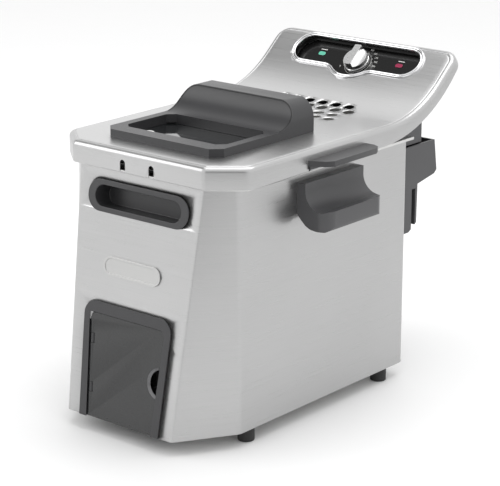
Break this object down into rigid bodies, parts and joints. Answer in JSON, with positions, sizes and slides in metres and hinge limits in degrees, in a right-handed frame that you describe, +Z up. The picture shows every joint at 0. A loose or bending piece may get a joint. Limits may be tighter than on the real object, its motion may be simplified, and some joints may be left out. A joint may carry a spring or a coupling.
{
  "type": "deep fryer",
  "caption": "Countertop deep fryer: steel body with tank and drain hose, lift-off lid with window, folding-handle basket, lift-out control unit with heating element.",
  "frame": {"origin": "middle of the footprint, on the plane that the feet stand on", "axes": "+Z up, -Y towards the front with the drain door, +X to the right as seen from the front"},
  "size_m": [0.34, 0.4826, 0.4048],
  "materials": {
    "brushed_steel": "brushed, satin",
    "lid_steel": "brushed, satin",
    "tank_steel": "plain mill finish",
    "zinc_plate": "zinc plated",
    "basket_wire": "tinned wire",
    "chrome_trim": "polished",
    "badge_metal": "satin",
    "dark_plastic": "fine satin",
    "grey_plastic": "fine satin",
    "black_plastic": "gloss",
    "smoked_plastic": "smoked gloss",
    "white_plastic": "satin",
    "cream_plastic": "satin",
    "green_lens": "clear lens",
    "red_lens": "clear lens",
    "window_glass": "clear, smoked from below",
    "rubber": "matt",
    "hose_rubber": "matt",
    "element_tube": "oxidised",
    "copper": "dull copper",
    "filter_felt": "open felt"
  },
  "bodies": {
    "fryer": {"body_shell": "brushed_steel", "base_plate": "zinc_plate", "rubber_feet": "rubber", "foot_screws": "zinc_plate", "oil_tank": "tank_steel", "drain_pipe": "zinc_plate", "front_grip": "dark_plastic", "blank_badge": "badge_metal", "drain_bay": "dark_plastic", "door_hinge_pins": "zinc_plate", "carry_handle_left": "grey_plastic", "carry_handle_right": "grey_plastic", "handle_screws": "zinc_plate", "cord_store": "grey_plastic", "store_screws": "zinc_plate"},
    "lid": {"lid_shell": "lid_steel", "lid_liner": "tank_steel", "lid_gasket": "rubber", "lid_hood": "dark_plastic", "window_glass": "window_glass", "window_seal": "rubber", "hood_screws": "zinc_plate", "hood_clip": "white_plastic", "panel_bezel": "chrome_trim", "bezel_well": "black_plastic", "lid_tab_left": "dark_plastic", "lid_tab_right": "dark_plastic", "tab_rivets": "zinc_plate", "filter_tray": "tank_steel", "filter_pad": "filter_felt"},
    "basket": {"basket_frame": "basket_wire", "basket_mesh": "basket_wire", "handle_bracket": "basket_wire"},
    "basket_handle": {"handle_wires": "basket_wire", "handle_grip": "dark_plastic"},
    "control_unit": {"control_housing": "grey_plastic", "housing_front": "zinc_plate", "control_panel": "black_plastic", "lamp_green": "green_lens", "lamp_red": "red_lens", "heating_element": "element_tube", "element_stay": "zinc_plate", "thermostat": "zinc_plate", "thermostat_probe": "copper", "safety_switch": "black_plastic", "terminal_block": "cream_plastic", "housing_screws": "zinc_plate", "cord_gland": "rubber"},
    "knob": {"knob": "chrome_trim", "knob_spindle": "zinc_plate"},
    "drain_door": {"drain_door": "smoked_plastic"},
    "hose": {"drain_hose": "hose_rubber"},
    "cap": {"hose_cap": "grey_plastic"}
  },
  "joints": [
    {"name": "lid_lift", "type": "slide", "parent": "fryer", "child": "lid", "axis": [0, 0, 1], "range_m": [0, 0.75]},
    {"name": "basket_lift", "type": "slide", "parent": "fryer", "child": "basket", "axis": [0, 0, 1], "range_m": [0, 0.4125]},
    {"name": "handle_fold", "type": "hinge", "parent": "basket", "child": "basket_handle", "pos_m": [0, -0.15266, 0.313], "axis": [1, 0, 0], "range_deg": [0, 178]},
    {"name": "control_lift", "type": "slide", "parent": "fryer", "child": "control_unit", "axis": [0, 0, 1], "range_m": [0, 0.2475]},
    {"name": "knob_turn", "type": "hinge", "parent": "control_unit", "child": "knob", "pos_m": [0, 0.20521, 0.38207], "axis": [0, 0.6428, -0.766], "range_deg": [0, 270]},
    {"name": "door_swing", "type": "hinge", "parent": "fryer", "child": "drain_door", "pos_m": [-0.047, -0.23738, 0.0177], "axis": [0.0642, -0.1487, -0.9868], "range_deg": [0, 95]},
    {"name": "hose_swing", "type": "hinge", "parent": "fryer", "child": "hose", "pos_m": [0.025, -0.19866, 0.128], "axis": [-1, 0, 0], "range_deg": [0, 61.8]},
    {"name": "cap_pull", "type": "slide", "parent": "hose", "child": "cap", "axis": [0, 0, -1], "range_m": [0, 0.016]}
  ],
  "couplings": [
    {"joint": "basket_lift", "follows": "lid_lift", "ratio": 0.55},
    {"joint": "control_lift", "follows": "lid_lift", "ratio": 0.33},
    {"joint": "handle_fold", "follows": "lid_lift", "rad_per_m": 4.1422},
    {"joint": "hose_swing", "follows": "door_swing", "ratio": 0.65}
  ]
}
